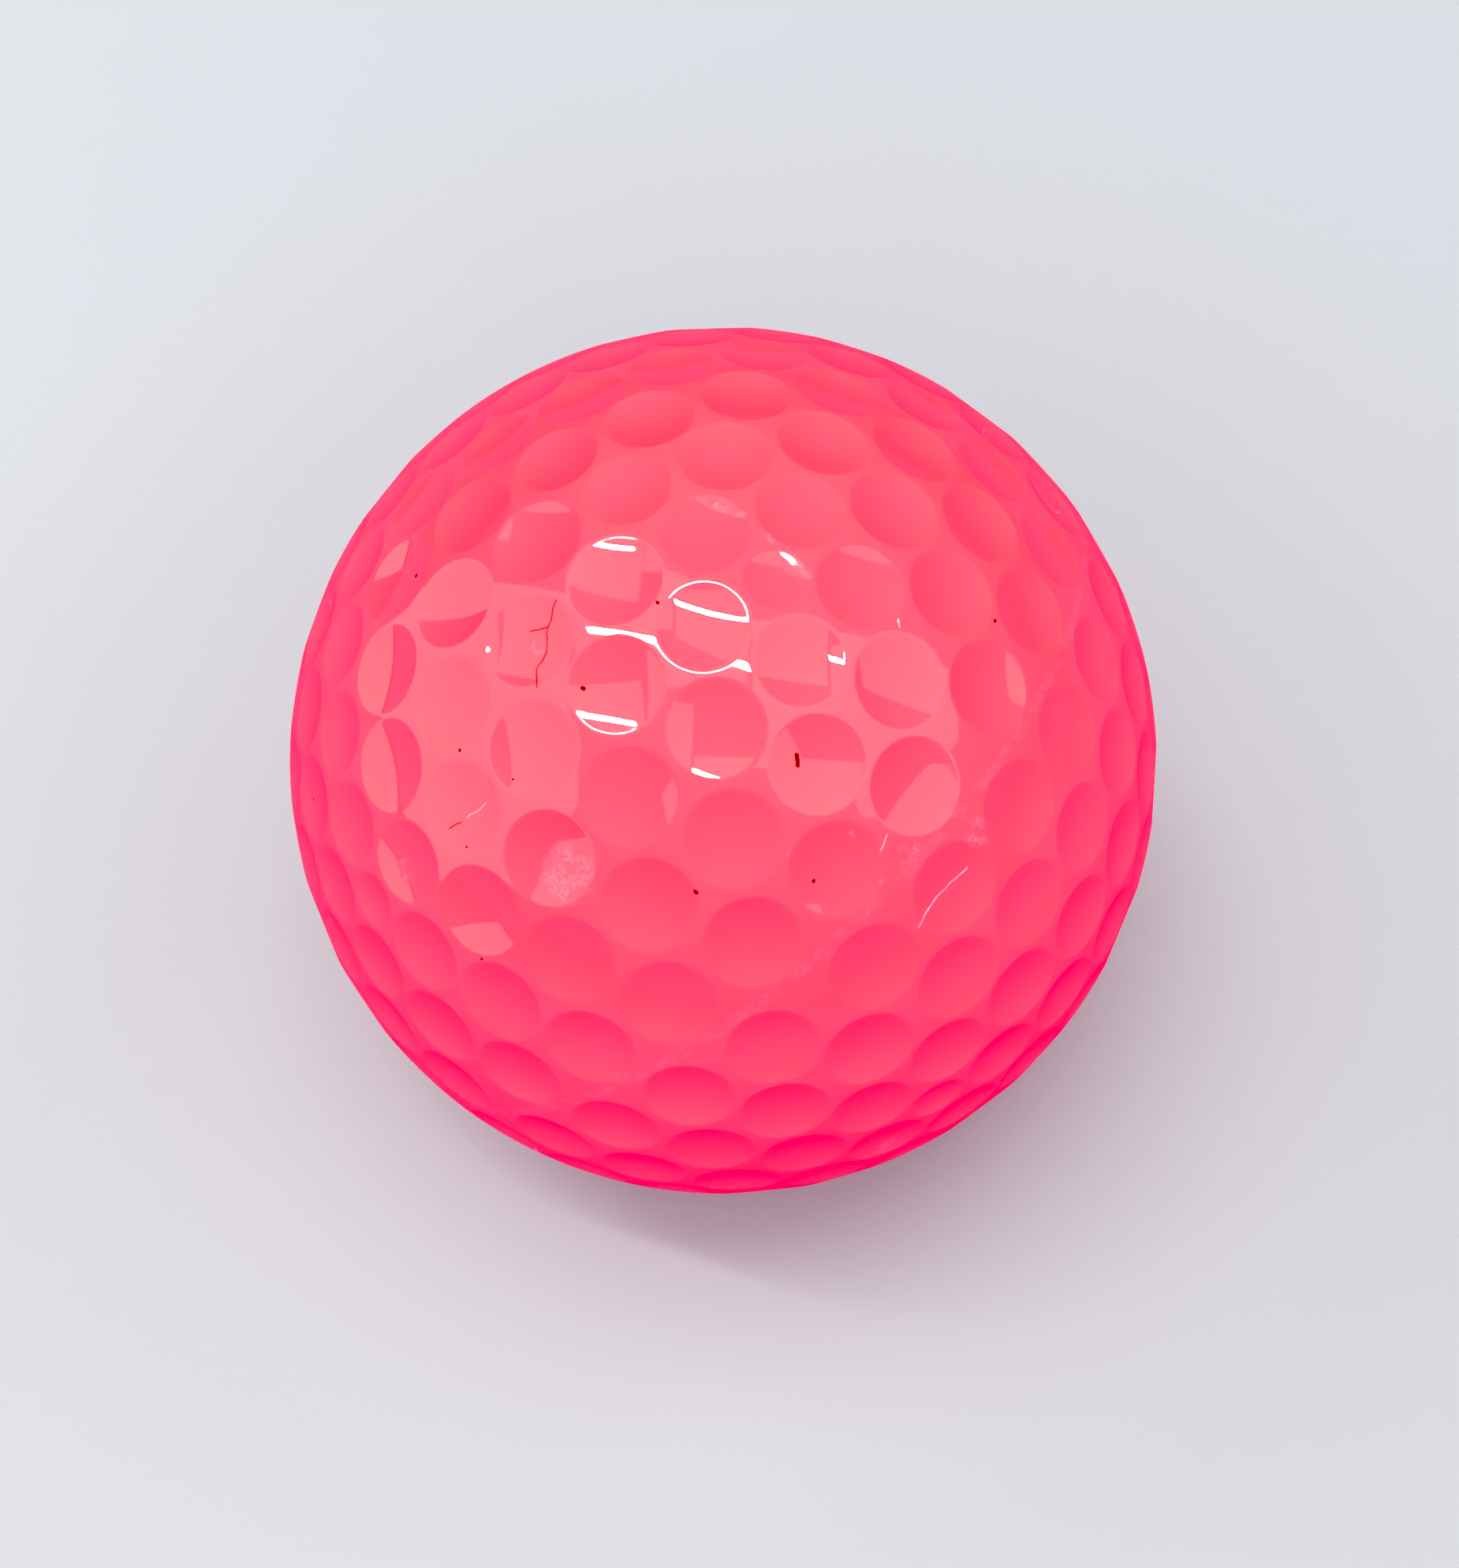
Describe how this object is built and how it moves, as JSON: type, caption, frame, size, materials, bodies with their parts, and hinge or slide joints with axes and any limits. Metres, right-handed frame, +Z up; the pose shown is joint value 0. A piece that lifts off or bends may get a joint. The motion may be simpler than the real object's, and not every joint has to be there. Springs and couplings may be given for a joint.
{
  "type": "golf ball",
  "caption": "Glossy neon pink golf ball: solid rubber core, ionomer mantle and a dimpled cover moulded in halves that meet at a plain band.",
  "frame": {"origin": "centre of the ball", "axes": "+Z up as the ball lies on the ground. The joint between the cover halves is the plane through the origin square to the pole direction (-0.64, 0.45, 0.62), which leans 51.55 degrees from +Z."},
  "size_m": [0.0426, 0.0426, 0.0426],
  "materials": {
    "cover": "high gloss clear coat over neon pink",
    "mantle": "as moulded",
    "core": "as moulded"
  },
  "bodies": {
    "root": {"cover_upper": "cover", "cover_lower": "cover", "mantle_upper": "mantle", "mantle_lower": "mantle", "core": "core"}
  },
  "joints": []
}
